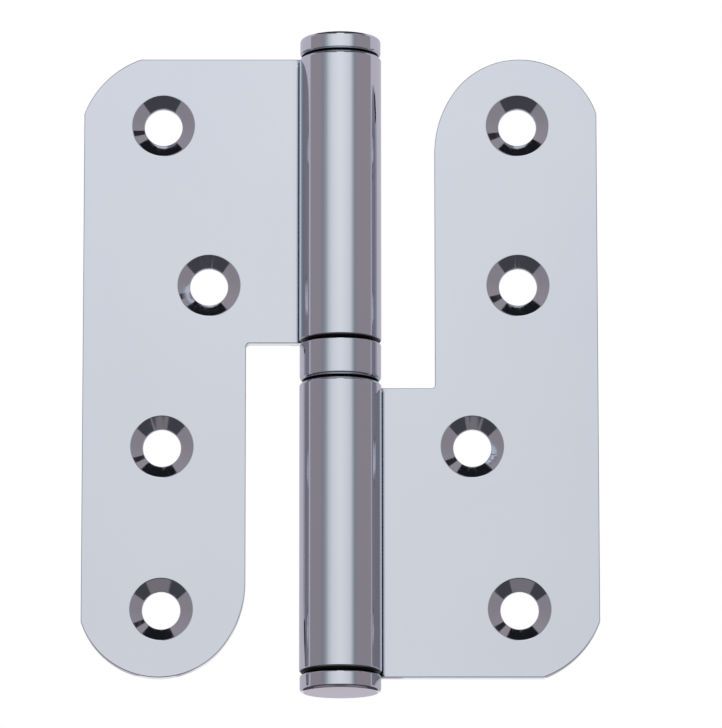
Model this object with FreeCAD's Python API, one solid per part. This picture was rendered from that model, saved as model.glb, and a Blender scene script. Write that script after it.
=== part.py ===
"""Lift-off hinge: two formed sheet-steel leaves on one upright pin.

Sizes are in millimetres. +Z runs up the pin, +X points to the frame leaf and +Y to the
mounting face, so the screws go in from -Y. The origin is on the pin's axis, half-way up
the bearing ring, which is also the middle of the whole hinge. It is drawn laid flat.
"""
import math
import os

import FreeCAD
import Part
from FreeCAD import Vector

# Sheet and overall size of one leaf
leaf_height = 110.0
leaf_reach = 45.0
sheet_thickness = 2.5

# Knuckle: the sheet rolled round the pin, and the joggle that leads into it
knuckle_bore = 9.3
leaf_setback = 2.0
joggle_radius = 11.0
seam_gap = 1.2
knuckle_edge_break = 0.8

# Tongue: the part of a leaf that stands beside the other leaf's knuckle
tongue_width = 28.5
tongue_end_trim = 0.7
tongue_end_ease = 0.4
shoulder_easing = 4.8

# Notch between the tongue and the knuckle, and the leaf's cut corner
notch_relief = 0.75
notch_root_radius = 0.6
corner_radius = 16.5
corner_trim = 1.0

# Countersunk screw holes
screw_hole_diameter = 6.6
countersink_diameter = 11.0
countersink_angle = 110.0
screw_pitch = 28.7
screw_inset = 13.9
staggered_screw_inset = 22.0

# Bearing ring between the two knuckles
ring_height = 6.5
ring_step = 0.05
ring_upper_break = 0.4
ring_lower_break = 0.7

# Hinge pin, pressed into the frame leaf's knuckle
running_clearance = 0.05
pin_end_gap = 4.0
pin_tip_length = 2.5
pin_tip_flat = 5.0

# Turned cap that closes each end of the bore
cap_head_height = 3.0
cap_step = 0.1
cap_seat_break = 0.45
cap_face_rounding = 0.65
spigot_length = 6.0
spigot_lead = 0.6

# Sizes that follow from those above
half_height = leaf_height / 2.0
half_ring = ring_height / 2.0
bore_radius = knuckle_bore / 2.0
knuckle_radius = bore_radius + sheet_thickness
leaf_back = leaf_setback + sheet_thickness
notch_edge = -half_ring - notch_relief
tongue_inner_side = leaf_reach - tongue_width
joggle_height = leaf_setback + sheet_thickness / 2.0 + joggle_radius
rolled_radius = bore_radius + sheet_thickness / 2.0
joggle_start = math.sqrt((rolled_radius + joggle_radius) ** 2 - joggle_height ** 2)
joggle_angle = math.degrees(math.atan2(joggle_height, joggle_start))
seam_angle = math.degrees(math.asin((leaf_setback - seam_gap) / knuckle_radius))


def section_point(x, y):
    """A point in a cut across the pin."""
    return Vector(x, y, 0)


def outline_point(x, z):
    """A point on the leaf seen from the front."""
    return Vector(x, 0, z)


def arc(plane, centre, radius, start, end):
    """Circular edge about centre, from one angle to another in degrees."""
    points = []
    for degrees in (start, (start + end) / 2.0, end):
        turn = math.radians(degrees)
        points.append(plane(centre[0] + radius * math.cos(turn),
                            centre[1] + radius * math.sin(turn)))
    return Part.Arc(*points).toShape()


def closed_face(edges):
    """Fill the edges, joining each one's end to the next one's start by a straight line."""
    loop = []
    for edge, following in zip(edges, edges[1:] + edges[:1]):
        loop.append(edge)
        end = edge.valueAt(edge.LastParameter)
        start = following.valueAt(following.FirstParameter)
        if end.distanceToPoint(start) > 1e-6:
            loop.append(Part.makeLine(end, start))
    return Part.Face(Part.Wire(loop))


def turned(profile):
    """Solid of revolution about the pin's axis from (radius, height) corner points."""
    corners = [Vector(radius, 0, height) for radius, height in profile]
    face = Part.Face(Part.makePolygon(corners + corners[:1]))
    return face.revolve(Vector(0, 0, 0), Vector(0, 0, 1), 360)


def circular_edges(solid, radius, height):
    """The full circles of that radius at that height about the pin's axis."""
    found = []
    for edge in solid.Edges:
        curve = edge.Curve
        if isinstance(curve, Part.Circle) and edge.isClosed():
            if abs(curve.Radius - radius) < 1e-4 and abs(curve.Center.z - height) < 1e-4:
                found.append(edge)
    return found


def flat_and_joggle_section():
    """The sheet seen along the pin, from beyond its outer edge in to where the roll starts."""
    bend = (joggle_start, joggle_height)
    towards_pin = joggle_angle + 180
    half_sheet = sheet_thickness / 2.0
    beyond = leaf_reach + sheet_thickness
    edge_of_sheet = Part.makeLine(section_point(beyond, leaf_setback),
                                  section_point(beyond, leaf_back))
    return closed_face([
        edge_of_sheet,
        arc(section_point, bend, joggle_radius - half_sheet, 270, towards_pin),
        arc(section_point, bend, joggle_radius + half_sheet, towards_pin, 270),
    ])


def roll_section():
    """The sheet's roll round the bore, square-cut where it comes back to the leaf's face."""
    seam = 360 + seam_angle
    return closed_face([
        arc(section_point, (0, 0), knuckle_radius, joggle_angle, seam),
        arc(section_point, (0, 0), bore_radius, seam, joggle_angle),
    ])


def tongue_end_arcs():
    """Round tongue end, trimmed by the outer edge, and the wider shoulder arc beside it."""
    end_radius = (tongue_width + tongue_end_trim) / 2.0 - tongue_end_ease
    shoulder_radius = end_radius + shoulder_easing
    end_x = leaf_reach - end_radius + tongue_end_trim
    end_z = half_height - end_radius
    shoulder_x = tongue_inner_side + shoulder_radius
    drop = math.sqrt(shoulder_easing ** 2 - (shoulder_x - end_x) ** 2)
    kink = math.degrees(math.acos((leaf_reach - end_x) / end_radius))
    meeting = 180 - math.degrees(math.asin(drop / shoulder_easing))
    return [
        arc(outline_point, (end_x, end_z), end_radius, kink, meeting),
        arc(outline_point, (shoulder_x, end_z - drop), shoulder_radius, meeting, 180),
    ]


def cut_corner_arc():
    """Arc across the leaf's free corner, trimmed by both edges so that it meets each in a kink."""
    inset = corner_radius - corner_trim
    at_end_edge = -math.degrees(math.asin(inset / corner_radius))
    at_outer_edge = -math.degrees(math.acos(inset / corner_radius))
    centre = (leaf_reach - inset, -half_height + inset)
    return arc(outline_point, centre, corner_radius, at_end_edge, at_outer_edge)


def leaf_outline():
    """Blanked outline of the frame leaf: wide below the ring, with a tongue rising past it."""
    root = (tongue_inner_side - notch_root_radius, notch_edge + notch_root_radius)
    pin_side = Part.makeLine(outline_point(0, notch_edge), outline_point(0, -half_height))
    return closed_face([
        pin_side,
        cut_corner_arc(),
        *tongue_end_arcs(),
        arc(outline_point, root, notch_root_radius, 0, -90),
    ])


def knuckle_edge_cutter(face_height, inwards):
    """Bevel cutter for the knuckle's rim; it stops where the sheet leaves the roll."""
    spare = 0.05
    deep = knuckle_edge_break + spare
    corners = [
        Vector(knuckle_radius - deep, 0, face_height - inwards * spare),
        Vector(knuckle_radius + spare, 0, face_height - inwards * spare),
        Vector(knuckle_radius + spare, 0, face_height + inwards * deep),
    ]
    profile = Part.Face(Part.makePolygon(corners + corners[:1]))
    profile.rotate(Vector(0, 0, 0), Vector(0, 0, 1), joggle_angle)
    sweep = 360 + seam_angle - joggle_angle
    return profile.revolve(Vector(0, 0, 0), Vector(0, 0, 1), sweep)


def screw_places():
    """Centres of the frame leaf's four holes, one of them staggered towards the pin."""
    outer_line = leaf_reach - screw_inset
    staggered = leaf_reach - staggered_screw_inset
    return [
        (outer_line, 1.5 * screw_pitch),
        (outer_line, 0.5 * screw_pitch),
        (staggered, -0.5 * screw_pitch),
        (outer_line, -1.5 * screw_pitch),
    ]


def screw_hole_cutter(x, z):
    """Through hole with a cone that opens on the leaf's front face."""
    into_leaf = Vector(0, 1, 0)
    hole_radius = screw_hole_diameter / 2.0
    sink_radius = countersink_diameter / 2.0
    slope = math.tan(math.radians(countersink_angle / 2.0))
    sink_depth = (sink_radius - hole_radius) / slope
    spare = sheet_thickness
    hole = Part.makeCylinder(hole_radius, sheet_thickness + 2 * spare,
                             Vector(x, leaf_setback - spare, z), into_leaf)
    cone = Part.makeCone(sink_radius + spare * slope, hole_radius, sink_depth + spare,
                         Vector(x, leaf_setback - spare, z), into_leaf)
    return hole.fuse(cone)


def make_frame_leaf():
    """One piece of sheet: the blanked and joggled leaf, and the roll it runs into."""
    bent_sheet = flat_and_joggle_section()
    bent_sheet.translate(Vector(0, 0, -leaf_height))
    bent_sheet = bent_sheet.extrude(Vector(0, 0, 2 * leaf_height))
    blank = leaf_outline()
    blank.translate(Vector(0, -2 * knuckle_radius, 0))
    blank = blank.extrude(Vector(0, 4 * knuckle_radius, 0))
    roll = roll_section()
    roll.translate(Vector(0, 0, -half_height))
    roll = roll.extrude(Vector(0, 0, half_height - half_ring))
    leaf = bent_sheet.common(blank).fuse(roll)
    leaf = leaf.cut(knuckle_edge_cutter(-half_ring, -1))
    leaf = leaf.cut(knuckle_edge_cutter(-half_height, 1))
    for x, z in screw_places():
        leaf = leaf.cut(screw_hole_cutter(x, z))
    return leaf.removeSplitter().Solids[0]


def make_door_leaf():
    """The same pressing turned end for end, so that the two knuckles stack on one pin."""
    leaf = make_frame_leaf()
    leaf.rotate(Vector(0, 0, 0), Vector(0, 1, 0), 180)
    return leaf


def make_bearing_ring():
    """Ring that carries the door leaf's knuckle on the frame leaf's."""
    outer = knuckle_radius - ring_step
    return turned([
        (bore_radius, -half_ring),
        (outer - ring_lower_break, -half_ring),
        (outer, -half_ring + ring_lower_break),
        (outer, half_ring - ring_upper_break),
        (outer - ring_upper_break, half_ring),
        (bore_radius, half_ring),
    ])


def make_hinge_pin():
    """Pin pressed into the frame leaf, with a running fit above and a tapered tip."""
    foot = -half_height + spigot_length
    tip = half_height - spigot_length - pin_end_gap
    running = bore_radius - running_clearance
    return turned([
        (0, foot),
        (bore_radius, foot),
        (bore_radius, -half_ring),
        (running, -half_ring),
        (running, tip - pin_tip_length),
        (pin_tip_flat / 2.0, tip),
        (0, tip),
    ])


def make_upper_cap():
    """Turned cap: a rounded head on the knuckle's end and a spigot down its bore."""
    head = knuckle_radius - cap_step
    top = half_height + cap_head_height
    cap = turned([
        (0, half_height - spigot_length),
        (bore_radius - spigot_lead, half_height - spigot_length),
        (bore_radius, half_height - spigot_length + spigot_lead),
        (bore_radius, half_height),
        (head - cap_seat_break, half_height),
        (head, half_height + cap_seat_break),
        (head, top),
        (0, top),
    ])
    return cap.makeFillet(cap_face_rounding, circular_edges(cap, head, top))


def make_lower_cap():
    """The same cap turned over, under the frame leaf's knuckle."""
    cap = make_upper_cap()
    cap.rotate(Vector(0, 0, 0), Vector(1, 0, 0), 180)
    return cap


pieces = {
    "frame_leaf": make_frame_leaf(),
    "door_leaf": make_door_leaf(),
    "hinge_pin": make_hinge_pin(),
    "bearing_ring": make_bearing_ring(),
    "upper_cap": make_upper_cap(),
    "lower_cap": make_lower_cap(),
}

os.makedirs("parts", exist_ok=True)
for node, solid in pieces.items():
    solid.exportStep("parts/" + node + ".step")
    box = solid.BoundBox
    print(f"{node:14s} volume {solid.Volume:9.1f}  valid {solid.isValid()}",
          f"x {box.XMin:.2f}..{box.XMax:.2f}  y {box.YMin:.2f}..{box.YMax:.2f}",
          f"z {box.ZMin:.2f}..{box.ZMax:.2f}")
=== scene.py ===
"""Lift-off hinge, chrome plated, standing upright with its leaves open flat.

Sizes are in metres. +Z runs up the pin and the screwed side faces -Y, where the camera is.
"""
import math

import bmesh
import bpy
from mathutils import Matrix, Vector


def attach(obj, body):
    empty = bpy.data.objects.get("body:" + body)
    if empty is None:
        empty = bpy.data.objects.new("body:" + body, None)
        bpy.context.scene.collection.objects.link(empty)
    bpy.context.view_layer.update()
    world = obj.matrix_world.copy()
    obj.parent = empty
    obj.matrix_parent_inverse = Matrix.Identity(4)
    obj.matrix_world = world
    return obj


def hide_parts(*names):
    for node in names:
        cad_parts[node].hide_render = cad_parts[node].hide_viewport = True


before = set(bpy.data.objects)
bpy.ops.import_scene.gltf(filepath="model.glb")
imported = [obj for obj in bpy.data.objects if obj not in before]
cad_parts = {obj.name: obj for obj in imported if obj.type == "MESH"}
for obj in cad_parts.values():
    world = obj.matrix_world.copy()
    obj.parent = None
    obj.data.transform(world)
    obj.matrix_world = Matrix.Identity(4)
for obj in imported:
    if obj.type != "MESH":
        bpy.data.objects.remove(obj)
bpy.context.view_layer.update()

# Camera
# It stands low in front of the hinge and looks up at it, with a long lens, so that the knuckles
# stay parallel and their joints show as shallow arcs.
image_side = 728
eye_distance = 1.2
eye_elevation = math.radians(-11.5)
pixels_per_metre = 5740
shift_pixels_right = 20.6
shift_pixels_up = -0.7

camera_data = bpy.data.cameras.new("photo_camera")
camera_data.sensor_width = 36.0
camera_data.lens = pixels_per_metre * eye_distance / image_side * camera_data.sensor_width
camera_data.shift_x = shift_pixels_right / image_side
camera_data.shift_y = shift_pixels_up / image_side
camera_data.clip_start = 0.01
camera_data.clip_end = 30.0
camera = bpy.data.objects.new("photo_camera", camera_data)
bpy.context.scene.collection.objects.link(camera)
camera.location = (0, -eye_distance * math.cos(eye_elevation),
                   eye_distance * math.sin(eye_elevation))
camera.rotation_euler = (math.pi / 2 - eye_elevation, 0, 0)
bpy.context.scene.camera = camera
bpy.context.scene.view_settings.view_transform = "Standard"

# Studio air and lamp
# White paper all round, which the camera and the bright metal both see, with a softer light of
# its own. One large soft lamp overhead gives the object its shadow on the floor.
white = (1, 1, 1, 1)
white_strength = 1.0
soft_light_tone = (0.95, 0.96, 1.0, 1)
soft_light_strength = 0.6
lamp_width = 0.9
lamp_power = 14.0
lamp_place = Vector((-0.25, -0.35, 1.3))


def feed(tree, given, socket):
    """Give a socket the output of another node, or a plain value."""
    if isinstance(given, bpy.types.NodeSocket):
        tree.links.new(given, socket)
    else:
        socket.default_value = given


def math_node(tree, operation, *operands):
    """One step of arithmetic on numbers and the outputs of other nodes."""
    node = tree.nodes.new("ShaderNodeMath")
    node.operation = operation
    for operand, socket in zip(operands, node.inputs):
        feed(tree, operand, socket)
    return node.outputs[0]


def light_shader(tree, kind, colour, strength):
    """A shader that gives light: the background of a world, or the glow of a surface."""
    node = tree.nodes.new(kind)
    feed(tree, colour, node.inputs["Color"])
    feed(tree, strength, node.inputs["Strength"])
    return node.outputs[0]


def mix_shaders(tree, share, first, second):
    """The first shader, giving way to the second as the share goes from 0 to 1."""
    node = tree.nodes.new("ShaderNodeMixShader")
    for given, socket in zip((share, first, second), node.inputs):
        feed(tree, given, socket)
    return node.outputs[0]


def seen_rays(tree):
    """1 for what is seen, straight on, in bright metal or through glass, and 0 for other light."""
    ray = tree.nodes.new("ShaderNodeLightPath")
    seen_or_mirrored = math_node(tree, "MAXIMUM", ray.outputs["Is Camera Ray"],
                                 ray.outputs["Is Glossy Ray"])
    return math_node(tree, "MAXIMUM", seen_or_mirrored, ray.outputs["Is Transmission Ray"])


air = bpy.data.worlds.new("studio_air")
bpy.context.scene.world = air
air.use_nodes = True
air_tree = air.node_tree
air_tree.nodes.clear()
soft_light = light_shader(air_tree, "ShaderNodeBackground", soft_light_tone, soft_light_strength)
white_paper = light_shader(air_tree, "ShaderNodeBackground", white, white_strength)
paper_or_light = mix_shaders(air_tree, seen_rays(air_tree), soft_light, white_paper)
air_end = air_tree.nodes.new("ShaderNodeOutputWorld")
air_tree.links.new(paper_or_light, air_end.inputs["Surface"])

lamp_data = bpy.data.lights.new("overhead_lamp", "AREA")
lamp_data.shape = "DISK"
lamp_data.size = lamp_width
lamp_data.energy = lamp_power
lamp = bpy.data.objects.new("overhead_lamp", lamp_data)
bpy.context.scene.collection.objects.link(lamp)
lamp.location = lamp_place
lamp.rotation_euler = (-lamp_place).to_track_quat("-Z", "Y").to_euler()
lamp.visible_glossy = False

# Floor
# A pale matt studio floor well below the hinge, which runs out into white paper. It can be looked
# through from underneath, so a low camera sees the hinge and not the floor's underside.
floor_middle = (0, 0, -0.35)
floor_half_side = 8.0
paper_start = 0.6
paper_full = 3.6
floor_tone = (0.84, 0.84, 0.85, 1)
floor_roughness = 0.9


def vector_node(tree, operation, *operands):
    """One step of arithmetic on vectors, which gives a number for a distance or a length."""
    node = tree.nodes.new("ShaderNodeVectorMath")
    node.operation = operation
    for operand, socket in zip(operands, node.inputs):
        feed(tree, operand, socket)
    return node.outputs["Value" if operation in ("DISTANCE", "LENGTH") else "Vector"]


def map_range(tree, value, start, end, low=0.0, high=1.0, interpolation="LINEAR"):
    """Carry a value from one range over to another, held at both ends."""
    node = tree.nodes.new("ShaderNodeMapRange")
    node.interpolation_type = interpolation
    feed(tree, value, node.inputs["Value"])
    feed(tree, start, node.inputs["From Min"])
    feed(tree, end, node.inputs["From Max"])
    feed(tree, low, node.inputs["To Min"])
    feed(tree, high, node.inputs["To Max"])
    return node.outputs["Result"]


floor_mesh = bpy.data.meshes.new("studio_floor")
floor_sheet = bmesh.new()
bmesh.ops.create_grid(floor_sheet, x_segments=1, y_segments=1, size=floor_half_side,
                      matrix=Matrix.Translation(floor_middle))
floor_sheet.to_mesh(floor_mesh)
floor_sheet.free()
floor = bpy.data.objects.new("studio_floor", floor_mesh)
bpy.context.scene.collection.objects.link(floor)

floor_paint = bpy.data.materials.new("pale_floor")
floor_paint.use_nodes = True
floor_tree = floor_paint.node_tree
floor_shader = floor_tree.nodes["Principled BSDF"]
floor_shader.inputs["Base Color"].default_value = floor_tone
floor_shader.inputs["Roughness"].default_value = floor_roughness
floor_place = floor_tree.nodes.new("ShaderNodeTexCoord")
from_floor_middle = vector_node(floor_tree, "DISTANCE", floor_place.outputs["Object"], floor_middle)
further_out = map_range(floor_tree, from_floor_middle, paper_start, paper_full,
                        interpolation="SMOOTHSTEP")
paper_share = math_node(floor_tree, "MULTIPLY", further_out, seen_rays(floor_tree))
floor_paper = light_shader(floor_tree, "ShaderNodeEmission", white, white_strength)
floor_or_paper = mix_shaders(floor_tree, paper_share, floor_shader.outputs[0], floor_paper)
underside = floor_tree.nodes.new("ShaderNodeNewGeometry")
see_through = floor_tree.nodes.new("ShaderNodeBsdfTransparent")
top_or_underside = mix_shaders(floor_tree, underside.outputs["Backfacing"], floor_or_paper,
                               see_through.outputs[0])
floor_end = floor_tree.nodes["Material Output"]
floor_tree.links.new(top_or_underside, floor_end.inputs["Surface"])
floor_mesh.materials.append(floor_paint)

# Light tent
# Bright metal shows what stands round it. Here that is a tent of paper and cloth: a white panel in
# front that fades at its sides, mauve walls with a dark opening on the right, and a lilac back that
# is white low down, all over a dark ground with a mauve table.
tent_radius = 0.33
tent_segments = 96
front_panel = (1.0, 1.0, 1.0)
panel_left_near = (0.98, 0.98, 0.985)
panel_left_far = (0.91, 0.91, 0.92)
panel_right_near = (0.96, 0.96, 0.965)
panel_right_far = (0.87, 0.88, 0.89)
panel_side = (0.72, 0.74, 0.76)
panel_edge = (0.43, 0.455, 0.485)
wall_by_panel = (0.305, 0.31, 0.34)
mauve_wall = (0.37, 0.325, 0.35)
lilac_back = (0.64, 0.59, 0.65)
white_back = (0.98, 0.98, 1.0)
ceiling_black = (0.012, 0.012, 0.014)
ground_grey = (0.075, 0.072, 0.085)
dark_opening = (0.03, 0.028, 0.034)
mauve_table = (0.27, 0.24, 0.25)
under_table = (0.008, 0.008, 0.009)

# Tones round the walls: degrees round from the camera's side, to the right, with an even run
# from each tone to the next
walls_round = [
    (-180, lilac_back),
    (-94, lilac_back),
    (-92.5, mauve_wall),
    (-62, mauve_wall),
    (-49, wall_by_panel),
    (-40, panel_edge),
    (-32, panel_side),
    (-22, panel_left_far),
    (-10, panel_left_near),
    (-3, front_panel),
    (3, front_panel),
    (10, panel_right_near),
    (24, panel_right_far),
    (30.5, panel_side),
    (36, panel_edge),
    (42, wall_by_panel),
    (48, mauve_wall),
    (94.5, mauve_wall),
    (96, lilac_back),
    (180, lilac_back),
]

# Degrees round from the camera's side, to the right for the opening and either way for the
# rest, at which the pieces above and below begin and end
white_back_from = 168
back_foot_from = 177.5
panel_middle_to = 12
panel_sides_to = 46
opening_from = 63
opening_to = 79
table_wings_from = 22

# Degrees above the level at which a piece starts to show, and at which it shows in full
white_back_edge = (-2, -5)
back_foot_edge = (-16, -18)
panel_sides_edge = (29, 31)
opening_foot = (31, 32)
opening_head = (43, 42)
ground_edge = (-27, -29)
table_wings_edge = (-53.5, -54.5)
table_edge = (-57.5, -59)
under_table_edge = (-78, -84)
ceiling_edge = (56, 58)

# The cloth glows a little more higher up: two levels in degrees, and the strength at each
glow_levels = (2, 45)
glow_strengths = (0.95, 1.08)


def split_vector(tree, vector):
    """The X, Y and Z of a vector."""
    node = tree.nodes.new("ShaderNodeSeparateXYZ")
    tree.links.new(vector, node.inputs[0])
    return node.outputs


def mix_values(tree, kind, share, first, second):
    """The first colour or number, giving way to the second as the share goes from 0 to 1."""
    node = tree.nodes.new("ShaderNodeMix")
    node.data_type = kind
    feed(tree, share, node.inputs["Factor"])
    feed(tree, first, node.inputs["A"])
    feed(tree, second, node.inputs["B"])
    return node.outputs["Result"]


def share_of_height(elevation):
    """Share of the way from straight down (0) to straight up (1), on the elevation's sine."""
    return (math.sin(math.radians(elevation)) + 1) / 2


tent_mesh = bpy.data.meshes.new("light_tent")
tent_skin = bmesh.new()
bmesh.ops.create_uvsphere(tent_skin, u_segments=tent_segments, v_segments=tent_segments // 2,
                          radius=tent_radius)
tent_skin.to_mesh(tent_mesh)
tent_skin.free()
for face in tent_mesh.polygons:
    face.use_smooth = True
tent = bpy.data.objects.new("light_tent", tent_mesh)
bpy.context.scene.collection.objects.link(tent)

tent_cloth = bpy.data.materials.new("tent_cloth")
tent_cloth.use_nodes = True
tent_tree = tent_cloth.node_tree
tent_tree.nodes.clear()
tent_place = tent_tree.nodes.new("ShaderNodeTexCoord")
outward = vector_node(tent_tree, "NORMALIZE", tent_place.outputs["Object"])
along = split_vector(tent_tree, outward)
towards_camera = math_node(tent_tree, "MULTIPLY", along["Y"], -1.0)
round_to_right = math_node(tent_tree, "ARCTAN2", along["X"], towards_camera)
round_either_way = math_node(tent_tree, "ABSOLUTE", round_to_right)
height_share = map_range(tent_tree, along["Z"], -1.0, 1.0)

walls = tent_tree.nodes.new("ShaderNodeValToRGB")
while len(walls.color_ramp.elements) > 1:
    walls.color_ramp.elements.remove(walls.color_ramp.elements[-1])
walls.color_ramp.elements[0].position = 0
walls.color_ramp.elements[0].color = (*walls_round[0][1], 1)
for degrees, cloth in walls_round[1:]:
    stop = walls.color_ramp.elements.new((degrees + 180) / 360)
    stop.color = (*cloth, 1)
feed(tent_tree, map_range(tent_tree, round_to_right, -math.pi, math.pi), walls.inputs["Fac"])


def both(mask, other):
    """1 where both masks are 1."""
    return math_node(tent_tree, "MULTIPLY", mask, other)


def beyond(angle, degrees):
    """1 where an angle round the tent is more than so many degrees."""
    return math_node(tent_tree, "GREATER_THAN", angle, math.radians(degrees))


def between(angle, start, end):
    """1 where an angle round the tent lies between two, in degrees."""
    return both(beyond(angle, start),
                math_node(tent_tree, "LESS_THAN", angle, math.radians(end)))


def past_edge(edge):
    """Soft step on the tent's skin, from 0 at the first elevation to 1 at the second."""
    start, end = edge
    return map_range(tent_tree, height_share, share_of_height(start), share_of_height(end),
                     interpolation="SMOOTHSTEP")


in_opening = both(between(round_to_right, opening_from, opening_to),
                  both(past_edge(opening_foot), past_edge(opening_head)))
panel_sides = between(round_either_way, panel_middle_to, panel_sides_to)
pieces_over_walls = [
    (white_back, both(beyond(round_either_way, white_back_from), past_edge(white_back_edge))),
    (lilac_back, both(beyond(round_either_way, back_foot_from), past_edge(back_foot_edge))),
    (mauve_wall, both(panel_sides, past_edge(panel_sides_edge))),
    (dark_opening, in_opening),
    (ground_grey, past_edge(ground_edge)),
    (mauve_table, both(beyond(round_either_way, table_wings_from), past_edge(table_wings_edge))),
    (mauve_table, past_edge(table_edge)),
    (under_table, past_edge(under_table_edge)),
    (ceiling_black, past_edge(ceiling_edge)),
]
cloths = walls.outputs["Color"]
for cloth, mask in pieces_over_walls:
    cloths = mix_values(tent_tree, "RGBA", mask, cloths, (*cloth, 1))
brighter_above = map_range(tent_tree, height_share, *map(share_of_height, glow_levels),
                           *glow_strengths)
tent_glow = light_shader(tent_tree, "ShaderNodeEmission", cloths, brighter_above)
tent_end = tent_tree.nodes.new("ShaderNodeOutputMaterial")
tent_tree.links.new(tent_glow, tent_end.inputs["Surface"])
tent_mesh.materials.append(tent_cloth)
tent.visible_camera = False
tent.visible_diffuse = False
tent.visible_transmission = False
tent.visible_volume_scatter = False
tent.visible_shadow = False

# The two leaves
# Each is one piece of 2.5 mm steel sheet: blanked to its outline, drilled and countersunk, then
# joggled back and rolled round the pin, and chrome plated. The door leaf is the same pressing
# turned end for end.
mm = 0.001
leaf_height = 110.0 * mm
leaf_reach = 45.0 * mm
leaf_front = 2.0 * mm
sheet_thickness = 2.5 * mm
ring_height = 6.5 * mm

# Knuckle, and the joggle that leads into it
knuckle_bore_radius = 4.65 * mm
joggle_radius = 11.0 * mm
seam_gap = 1.2 * mm
knuckle_edge_break = 0.8 * mm

# Tongue, notch and cut corner
tongue_width = 28.5 * mm
tongue_end_trim = 0.7 * mm
tongue_end_ease = 0.4 * mm
shoulder_easing = 4.8 * mm
notch_relief = 0.75 * mm
notch_root_radius = 0.6 * mm
corner_radius = 16.5 * mm
corner_trim = 1.0 * mm

# Countersunk screw holes
hole_radius = 3.3 * mm
sink_radius = 5.5 * mm
sink_half_angle = math.radians(55)
screw_pitch = 28.7 * mm
screw_inset = 13.9 * mm
staggered_screw_inset = 22.0 * mm

# Broken edges, and the steps of the curves; places within a hair of each other are the same
sheet_edge_rounding = 0.16 * mm
rounding_segments = 3
least_edge_angle = math.radians(24)
rim_left_plain = math.radians(4)
outline_step = math.radians(2.5)
sink_segments = 96
joggle_steps = 14
roll_steps = 120
hair = 0.001 * mm

# Plating, and the painted shade in the joints and on edges that face down
plating_tone = (0.64, 0.675, 0.74, 1)
plating_darker_tone = (0.61, 0.645, 0.715, 1)
polishing_line_height = 0.08
joint_shade_tone = (0.022, 0.021, 0.02, 1)
joint_shade_roughness = 0.45
joint_shade_edge = 0.1 * mm
joint_shade_past_knuckle = 0.3 * mm

# Sizes that follow from those above
half_height = leaf_height / 2
half_ring = ring_height / 2
knuckle_radius = knuckle_bore_radius + sheet_thickness
notch_edge = -half_ring - notch_relief
tongue_inner_side = leaf_reach - tongue_width
joggle_height = leaf_front + sheet_thickness / 2 + joggle_radius
rolled_radius = knuckle_bore_radius + sheet_thickness / 2
joggle_start = math.sqrt((rolled_radius + joggle_radius) ** 2 - joggle_height ** 2)
roll_start = math.atan2(joggle_height, joggle_start)
joggle_turn = math.pi / 2 - roll_start
seam_angle = math.asin((leaf_front - seam_gap) / knuckle_radius)
roll_turn = math.tau + seam_angle - roll_start
sink_depth = (sink_radius - hole_radius) / math.tan(sink_half_angle)
screw_line = leaf_reach - screw_inset
screw_places = [
    (screw_line, 1.5 * screw_pitch),
    (screw_line, 0.5 * screw_pitch),
    (leaf_reach - staggered_screw_inset, -0.5 * screw_pitch),
    (screw_line, -1.5 * screw_pitch),
]


def straight_on(sheet, corner, x, z):
    """Carry the blank's outline straight on to a new corner."""
    corner = bmesh.ops.extrude_vert_indiv(sheet, verts=[corner])["verts"][0]
    corner.co = Vector((x, leaf_front, z))
    return corner


def arc_on(sheet, corner, x, z, turn):
    """Carry the outline on round a centre, anticlockwise as seen from the front."""
    swept = bmesh.ops.spin(sheet, geom=[corner], cent=(x, leaf_front, z), axis=(0, -1, 0),
                           angle=turn, steps=round(abs(turn) / outline_step))
    return [part for part in swept["geom_last"] if isinstance(part, bmesh.types.BMVert)][0]


def cut_corner(sheet, corner):
    """Arc across the leaf's free corner, trimmed by both edges so that it meets each in a kink."""
    inset = corner_radius - corner_trim
    kink = math.acos(inset / corner_radius)
    centre_x = leaf_reach - inset
    corner = straight_on(sheet, corner, centre_x + corner_radius * math.sin(kink), -half_height)
    return arc_on(sheet, corner, centre_x, inset - half_height, math.pi / 2 - 2 * kink)


def round_tongue_end(sheet, corner):
    """Round tongue end, trimmed by the outer edge, and the wider shoulder arc beside it."""
    end_radius = (tongue_width + tongue_end_trim) / 2 - tongue_end_ease
    end_x = leaf_reach - end_radius + tongue_end_trim
    end_z = half_height - end_radius
    shoulder_x = tongue_inner_side + end_radius + shoulder_easing
    kink = math.acos((leaf_reach - end_x) / end_radius)
    shoulder_turn = math.acos((shoulder_x - end_x) / shoulder_easing)
    shoulder_z = end_z - shoulder_easing * math.sin(shoulder_turn)
    corner = straight_on(sheet, corner, leaf_reach, end_z + end_radius * math.sin(kink))
    corner = arc_on(sheet, corner, end_x, end_z, math.pi - kink - shoulder_turn)
    return arc_on(sheet, corner, shoulder_x, shoulder_z, shoulder_turn)


def cut_notch(sheet, corner):
    """Down the tongue's inner side, round the notch's root and along to the joggle."""
    root_z = notch_edge + notch_root_radius
    corner = straight_on(sheet, corner, tongue_inner_side, root_z)
    corner = arc_on(sheet, corner, tongue_inner_side - notch_root_radius, root_z, -math.pi / 2)
    return straight_on(sheet, corner, joggle_start, notch_edge)


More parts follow.
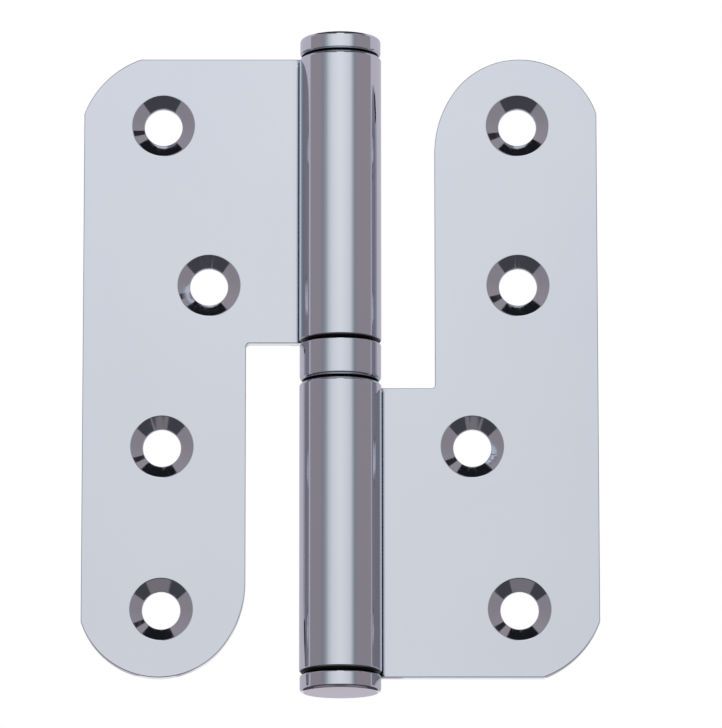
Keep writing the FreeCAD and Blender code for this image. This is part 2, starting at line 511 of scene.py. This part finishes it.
def cut_blank(sheet):
    """Blanked outline and countersink mouths, filled as one flat face."""
    first = sheet.verts.new((joggle_start, leaf_front, -half_height))
    corner = cut_corner(sheet, first)
    corner = round_tongue_end(sheet, corner)
    corner = cut_notch(sheet, corner)
    sheet.edges.new((corner, first))
    for x, z in screw_places:
        facing = Matrix.Translation((x, leaf_front, z)) @ Matrix.Rotation(math.pi / 2, 4, "X")
        bmesh.ops.create_circle(sheet, cap_ends=False, radius=sink_radius,
                                segments=sink_segments, matrix=facing)
    bmesh.ops.triangle_fill(sheet, use_beauty=True, edges=sheet.edges[:], normal=(0, -1, 0))
    bmesh.ops.dissolve_limit(sheet, angle_limit=math.radians(0.5), verts=sheet.verts[:],
                             edges=sheet.edges[:])


def open_up(sheet, covered):
    """Take away the faces that a sweep has covered over inside the sheet."""
    inside = [part for part in covered if isinstance(part, bmesh.types.BMFace) and part.is_valid]
    bmesh.ops.delete(sheet, geom=inside, context="FACES")


def thicken_blank(sheet):
    """Give the blank its thickness, with each hole's cone narrowing to a short straight land."""
    front = sheet.faces[:]
    grown = bmesh.ops.extrude_face_region(sheet, geom=front, use_keep_orig=True)["geom"]
    moved = [part for part in grown if isinstance(part, bmesh.types.BMVert)]
    bmesh.ops.translate(sheet, vec=(0, sink_depth, 0), verts=moved)
    narrower = hole_radius / sink_radius
    for x, z in screw_places:
        rim = [v for v in moved if math.hypot(v.co.x - x, v.co.z - z) < sink_radius + hair]
        bmesh.ops.scale(sheet, vec=(narrower, 1, narrower), verts=rim,
                        space=Matrix.Translation((-x, 0, -z)))
    behind = [part for part in grown if isinstance(part, bmesh.types.BMFace)]
    grown = bmesh.ops.extrude_face_region(sheet, geom=behind)["geom"]
    moved = [part for part in grown if isinstance(part, bmesh.types.BMVert)]
    bmesh.ops.translate(sheet, vec=(0, sheet_thickness - sink_depth, 0), verts=moved)
    open_up(sheet, behind)


def bend_and_roll(sheet):
    """Joggle the inner end of the sheet back, then roll it round the pin to its seam."""
    flat_end = [f for f in sheet.faces if all(abs(v.co.x - joggle_start) < hair for v in f.verts)]
    joggle_end = bmesh.ops.spin(sheet, geom=flat_end, cent=(joggle_start, joggle_height, 0),
                                axis=(0, 0, 1), angle=-joggle_turn,
                                steps=joggle_steps)["geom_last"]
    open_up(sheet, flat_end)
    first_step = math.radians(0.5)
    roll_end = bmesh.ops.spin(sheet, geom=joggle_end, cent=(0, 0, 0), axis=(0, 0, 1),
                              angle=first_step, steps=1)["geom_last"]
    open_up(sheet, joggle_end)
    for part in roll_end:
        if isinstance(part, bmesh.types.BMVert) and part.co.z > notch_edge - hair:
            part.co.z = -half_ring
    bmesh.ops.spin(sheet, geom=roll_end, cent=(0, 0, 0), axis=(0, 0, 1),
                   angle=roll_turn - first_step, steps=roll_steps)
    open_up(sheet, roll_end)


def break_knuckle_rims(sheet):
    """Bevel the two outer rims of the rolled knuckle, from a little past the roll's start."""
    rims = []
    for edge in sheet.edges:
        on_rim = all(abs(v.co.xy.length - knuckle_radius) < hair
                     and (abs(v.co.z + half_ring) < hair or abs(v.co.z + half_height) < hair)
                     for v in edge.verts)
        middle = (edge.verts[0].co + edge.verts[1].co) / 2
        past_start = (math.atan2(middle.y, middle.x) - roll_start) % math.tau > rim_left_plain
        if on_rim and past_start and abs(edge.verts[0].co.z - edge.verts[1].co.z) < hair:
            rims.append(edge)
    bmesh.ops.bevel(sheet, geom=rims, offset=knuckle_edge_break, offset_type="OFFSET", segments=1,
                    profile=0.5, affect="EDGES", material=-1, clamp_overlap=False)


def finished_piece(name, shape, edge_rounding):
    """Make the object, with softly broken edges and flat faces kept truly flat."""
    bmesh.ops.remove_doubles(shape, verts=shape.verts[:], dist=0.1 * hair)
    bmesh.ops.recalc_face_normals(shape, faces=shape.faces[:])
    for face in shape.faces:
        face.smooth = True
    mesh = bpy.data.meshes.new(name)
    shape.to_mesh(mesh)
    shape.free()
    piece = bpy.data.objects.new(name, mesh)
    bpy.context.scene.collection.objects.link(piece)
    edges = piece.modifiers.new("broken_edges", "BEVEL")
    edges.width = edge_rounding
    edges.segments = rounding_segments
    edges.limit_method = "ANGLE"
    edges.angle_limit = least_edge_angle
    edges.use_clamp_overlap = False
    flats = piece.modifiers.new("true_flats", "WEIGHTED_NORMAL")
    flats.mode = "FACE_AREA"
    flats.weight = 100
    flats.keep_sharp = False
    return piece


def formed_leaf(name, turned_over):
    """One leaf from blank to rolled knuckle; the door's is turned end for end."""
    sheet = bmesh.new()
    cut_blank(sheet)
    thicken_blank(sheet)
    bend_and_roll(sheet)
    break_knuckle_rims(sheet)
    if turned_over:
        bmesh.ops.rotate(sheet, cent=(0, 0, 0), matrix=Matrix.Rotation(math.pi, 3, "Y"),
                         verts=sheet.verts[:])
    return finished_piece(name, sheet, sheet_edge_rounding)


def new_group(name, inputs, outputs):
    """An empty node group with its named sockets, and the two nodes at its ends."""
    group = bpy.data.node_groups.new(name, "ShaderNodeTree")
    for label, kind in inputs.items():
        group.interface.new_socket(label, in_out="INPUT", socket_type=kind)
    for label, kind in outputs.items():
        group.interface.new_socket(label, in_out="OUTPUT", socket_type=kind)
    return group, group.nodes.new("NodeGroupInput"), group.nodes.new("NodeGroupOutput")


def noise(tree, place, scale, detail):
    """Soft clouds of values round a half."""
    node = tree.nodes.new("ShaderNodeTexNoise")
    feed(tree, place, node.inputs["Vector"])
    feed(tree, scale, node.inputs["Scale"])
    feed(tree, detail, node.inputs["Detail"])
    return node.outputs["Fac"]


def make_metal_finish_group():
    """Finished metal: clouds of tone with a ripple, and fine lines with haze and height."""
    group, start, end = new_group("metal_finish", {
        "Place": "NodeSocketVector",
        "Tone": "NodeSocketColor",
        "Darker Tone": "NodeSocketColor",
        "Cloud Scale": "NodeSocketFloat",
        "Line Stretch": "NodeSocketVector",
        "Least Haze": "NodeSocketFloat",
        "Most Haze": "NodeSocketFloat",
        "Line Height": "NodeSocketFloat",
    }, {
        "Color": "NodeSocketColor",
        "Roughness": "NodeSocketFloat",
        "Height": "NodeSocketFloat",
    })
    given = start.outputs
    faint_line = 0.35
    strong_line = 0.65
    clouds = noise(group, given["Place"], given["Cloud Scale"], detail=2.0)
    stretched = vector_node(group, "MULTIPLY", given["Place"], given["Line Stretch"])
    lines = noise(group, stretched, scale=1.0, detail=3.0)
    tone = mix_values(group, "RGBA", clouds, given["Tone"], given["Darker Tone"])
    haze = map_range(group, lines, faint_line, strong_line, given["Least Haze"],
                     given["Most Haze"])
    line_height = math_node(group, "MULTIPLY", lines, given["Line Height"])
    height = math_node(group, "ADD", clouds, line_height)
    feed(group, tone, end.inputs["Color"])
    feed(group, haze, end.inputs["Roughness"])
    feed(group, height, end.inputs["Height"])
    return group


metal_finish_group = make_metal_finish_group()


def make_joint_shade_group():
    """Painted shade: 1 inside the knuckles' joints, near the pin and between the caps, and 0
    outside.

    The painted shade reaches further out on edges that face down.
    """
    group, start, end = new_group("painted_joint_shade", {
        "Place": "NodeSocketVector",
        "Facing": "NodeSocketVector",
        "Joint Radius": "NodeSocketFloat",
        "Down Shade Reach": "NodeSocketFloat",
    }, {
        "Painted Shade": "NodeSocketFloat",
    })
    given = start.outputs
    slightly_down = -0.3
    well_down = -0.5
    across = vector_node(group, "MULTIPLY", given["Place"], (1, 1, 0))
    from_axis = vector_node(group, "LENGTH", across)
    facing = split_vector(group, given["Facing"])
    # Painted shade: the mask reaches further out on edges that face down
    down = map_range(group, facing["Z"], slightly_down, well_down)
    reach = math_node(group, "MULTIPLY_ADD", down, given["Down Shade Reach"], given["Joint Radius"])
    inside = math_node(group, "SUBTRACT", reach, from_axis)
    near_pin = map_range(group, inside, -joint_shade_edge, joint_shade_edge)
    along_pin = split_vector(group, given["Place"])["Z"]
    from_middle = math_node(group, "ABSOLUTE", along_pin)
    between_caps = math_node(group, "LESS_THAN", from_middle, half_height + joint_shade_past_knuckle)
    feed(group, math_node(group, "MULTIPLY", near_pin, between_caps), end.inputs["Painted Shade"])
    return group


joint_shade_group = make_joint_shade_group()


def new_metal(name):
    """A new material, its node tree, its shader set to metal, and the place on the piece."""
    metal = bpy.data.materials.new(name)
    metal.use_nodes = True
    tree = metal.node_tree
    shader = tree.nodes["Principled BSDF"]
    shader.inputs["Metallic"].default_value = 1.0
    return metal, tree, shader, tree.nodes.new("ShaderNodeTexCoord")


def metal_finish(tree, place, shader, values, relief_strength, relief_height):
    """Give a metal's shader its relief, and return the tone and the roughness of its finish."""
    finish = tree.nodes.new("ShaderNodeGroup")
    finish.node_tree = metal_finish_group
    tree.links.new(place.outputs["Object"], finish.inputs["Place"])
    for label, value in values.items():
        finish.inputs[label].default_value = value
    relief = tree.nodes.new("ShaderNodeBump")
    relief.inputs["Strength"].default_value = relief_strength
    relief.inputs["Distance"].default_value = relief_height
    tree.links.new(finish.outputs["Height"], relief.inputs["Height"])
    tree.links.new(relief.outputs["Normal"], shader.inputs["Normal"])
    return finish.outputs["Color"], finish.outputs["Roughness"]


def bright_plating(name, cloud_scale, line_stretch, haze, ripple, joint_radius, down_shade_reach):
    """Chrome plate over polished steel, with ripple, polishing lines and painted shade in the
    joints and on edges that face down.
    """
    plate, tree, shader, place = new_metal(name)
    tone, roughness = metal_finish(tree, place, shader, {
        "Tone": plating_tone,
        "Darker Tone": plating_darker_tone,
        "Cloud Scale": cloud_scale,
        "Line Stretch": line_stretch,
        "Least Haze": haze[0],
        "Most Haze": haze[1],
        "Line Height": polishing_line_height,
    }, relief_strength=1.0, relief_height=ripple)
    # Painted shade: the plating turns near black in the joints, where shade falls
    joints = tree.nodes.new("ShaderNodeGroup")
    joints.node_tree = joint_shade_group
    joints.inputs["Joint Radius"].default_value = joint_radius
    joints.inputs["Down Shade Reach"].default_value = down_shade_reach
    tree.links.new(place.outputs["Object"], joints.inputs["Place"])
    tree.links.new(place.outputs["Normal"], joints.inputs["Facing"])
    shade_share = joints.outputs["Painted Shade"]
    shaded_tone = mix_values(tree, "RGBA", shade_share, tone, joint_shade_tone)
    shaded_roughness = mix_values(tree, "FLOAT", shade_share, roughness, joint_shade_roughness)
    tree.links.new(shaded_tone, shader.inputs["Base Color"])
    tree.links.new(shaded_roughness, shader.inputs["Roughness"])
    return plate


frame_leaf_plate = bright_plating(
    "frame_leaf_plating", cloud_scale=38.0, line_stretch=(1800, 1800, 14), haze=(0.03, 0.11),
    ripple=0.02 * mm, joint_radius=6.6 * mm, down_shade_reach=0.45 * mm)
door_leaf_plate = bright_plating(
    "door_leaf_plating", cloud_scale=34.0, line_stretch=(1700, 1700, 13), haze=(0.03, 0.11),
    ripple=0.02 * mm, joint_radius=6.6 * mm, down_shade_reach=0.45 * mm)

frame_leaf = formed_leaf("frame_leaf_sheet", False)
frame_leaf.data.materials.append(frame_leaf_plate)
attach(frame_leaf, "frame_part")
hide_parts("frame_leaf")

door_leaf = formed_leaf("door_leaf_sheet", True)
door_leaf.data.materials.append(door_leaf_plate)
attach(door_leaf, "door_part")
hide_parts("door_leaf")

# Hinge pin
# Ground steel bar, pressed into the lower knuckle and running free in the upper one, with a
# tapered tip that finds the bore when the door is hung. It shows when the door is lifted off.
spigot_length = 6.0 * mm
pin_end_gap = 4.0 * mm
running_clearance = 0.05 * mm
pin_tip_length = 2.5 * mm
pin_tip_radius = 2.5 * mm
pin_running_radius = knuckle_bore_radius - running_clearance
pin_foot = -half_height + spigot_length
pin_tip = half_height - spigot_length - pin_end_gap
pin_edge_rounding = 0.02 * mm
turning_steps = 144
steel_tone = (0.52, 0.52, 0.53, 1)
steel_darker_tone = (0.36, 0.355, 0.35, 1)


def turned_shape(profile):
    """Spin a profile of (radius, height) corners once round the pin's axis."""
    shape = bmesh.new()
    corners = [shape.verts.new((radius, 0, height)) for radius, height in profile]
    for corner, following in zip(corners, corners[1:]):
        shape.edges.new((corner, following))
    if profile[0][0] > 0:
        shape.edges.new((corners[-1], corners[0]))
    bmesh.ops.spin(shape, geom=shape.verts[:] + shape.edges[:], cent=(0, 0, 0), axis=(0, 0, 1),
                   angle=math.tau, steps=turning_steps, use_merge=True)
    bmesh.ops.remove_doubles(shape, verts=shape.verts[:], dist=0.1 * hair)
    bmesh.ops.recalc_face_normals(shape, faces=shape.faces[:])
    return shape


def ground_steel(name):
    """Bare ground steel with fine rings round it and a trace of grease."""
    steel, tree, shader, place = new_metal(name)
    tone, roughness = metal_finish(tree, place, shader, {
        "Tone": steel_tone,
        "Darker Tone": steel_darker_tone,
        "Cloud Scale": 120.0,
        "Line Stretch": (60, 60, 5200),
        "Least Haze": 0.16,
        "Most Haze": 0.34,
        "Line Height": 0.6,
    }, relief_strength=0.6, relief_height=0.01 * mm)
    tree.links.new(tone, shader.inputs["Base Color"])
    tree.links.new(roughness, shader.inputs["Roughness"])
    return steel


pin_shape = turned_shape([
    (0, pin_foot),
    (knuckle_bore_radius, pin_foot),
    (knuckle_bore_radius, -half_ring),
    (pin_running_radius, -half_ring),
    (pin_running_radius, pin_tip - pin_tip_length),
    (pin_tip_radius, pin_tip),
    (0, pin_tip),
])
pin = finished_piece("hinge_pin_bar", pin_shape, pin_edge_rounding)
pin.data.materials.append(ground_steel("pin_steel"))
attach(pin, "frame_part")
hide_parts("hinge_pin")

# Bearing ring
# Turned steel ring between the knuckles, which carries the door. It is chrome plated, with a
# small round on its upper edge and a larger one below.
ring_step = 0.05 * mm
ring_radius = knuckle_radius - ring_step
ring_lower_round = 0.8 * mm
ring_upper_round = 0.25 * mm
turned_edge_rounding = 0.1 * mm
turned_plating = {"cloud_scale": 60.0, "line_stretch": (40, 40, 2600), "haze": (0.03, 0.07),
                  "ripple": 0.01 * mm, "joint_radius": 6.7 * mm, "down_shade_reach": 0}


def round_over(shape, radius, height, amount, segments):
    """Round the circular edge at that radius and height."""
    rim = [edge for edge in shape.edges
           if all(abs(v.co.xy.length - radius) < hair and abs(v.co.z - height) < hair
                  for v in edge.verts)]
    bmesh.ops.bevel(shape, geom=rim, offset=amount, offset_type="OFFSET", segments=segments,
                    profile=0.5, affect="EDGES", material=-1, clamp_overlap=False)


ring_shape = turned_shape([
    (knuckle_bore_radius, -half_ring),
    (ring_radius, -half_ring),
    (ring_radius, half_ring),
    (knuckle_bore_radius, half_ring),
])
round_over(ring_shape, ring_radius, -half_ring, ring_lower_round, segments=6)
round_over(ring_shape, ring_radius, half_ring, ring_upper_round, segments=4)
ring = finished_piece("bearing_ring_turned", ring_shape, turned_edge_rounding)
ring.data.materials.append(bright_plating("ring_plating", **turned_plating))
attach(ring, "ring_part")
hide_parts("bearing_ring")

# End caps
# Turned and plated caps with a spigot pressed into each open end of the bore. The seat is lightly
# rounded and the outer face has a wider round.
cap_step = 0.1 * mm
cap_radius = knuckle_radius - cap_step
cap_height = 3.0 * mm
cap_seat_round = 0.45 * mm
cap_face_round = 0.65 * mm
spigot_lead = 0.6 * mm
cap_plate = bright_plating("cap_plating", **turned_plating)


def turned_cap(name, underneath):
    """One cap; the lower one is turned over."""
    spigot_end = half_height - spigot_length
    cap_face = half_height + cap_height
    shape = turned_shape([
        (0, spigot_end),
        (knuckle_bore_radius - spigot_lead, spigot_end),
        (knuckle_bore_radius, spigot_end + spigot_lead),
        (knuckle_bore_radius, half_height),
        (cap_radius, half_height),
        (cap_radius, cap_face),
        (0, cap_face),
    ])
    round_over(shape, cap_radius, half_height, cap_seat_round, segments=5)
    round_over(shape, cap_radius, cap_face, cap_face_round, segments=7)
    if underneath:
        bmesh.ops.rotate(shape, cent=(0, 0, 0), matrix=Matrix.Rotation(math.pi, 3, "X"),
                         verts=shape.verts[:])
    cap = finished_piece(name, shape, turned_edge_rounding)
    cap.data.materials.append(cap_plate)
    return cap


upper_cap = turned_cap("upper_cap_turned", False)
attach(upper_cap, "door_part")
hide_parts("upper_cap")

lower_cap = turned_cap("lower_cap_turned", True)
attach(lower_cap, "frame_part")
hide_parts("lower_cap")
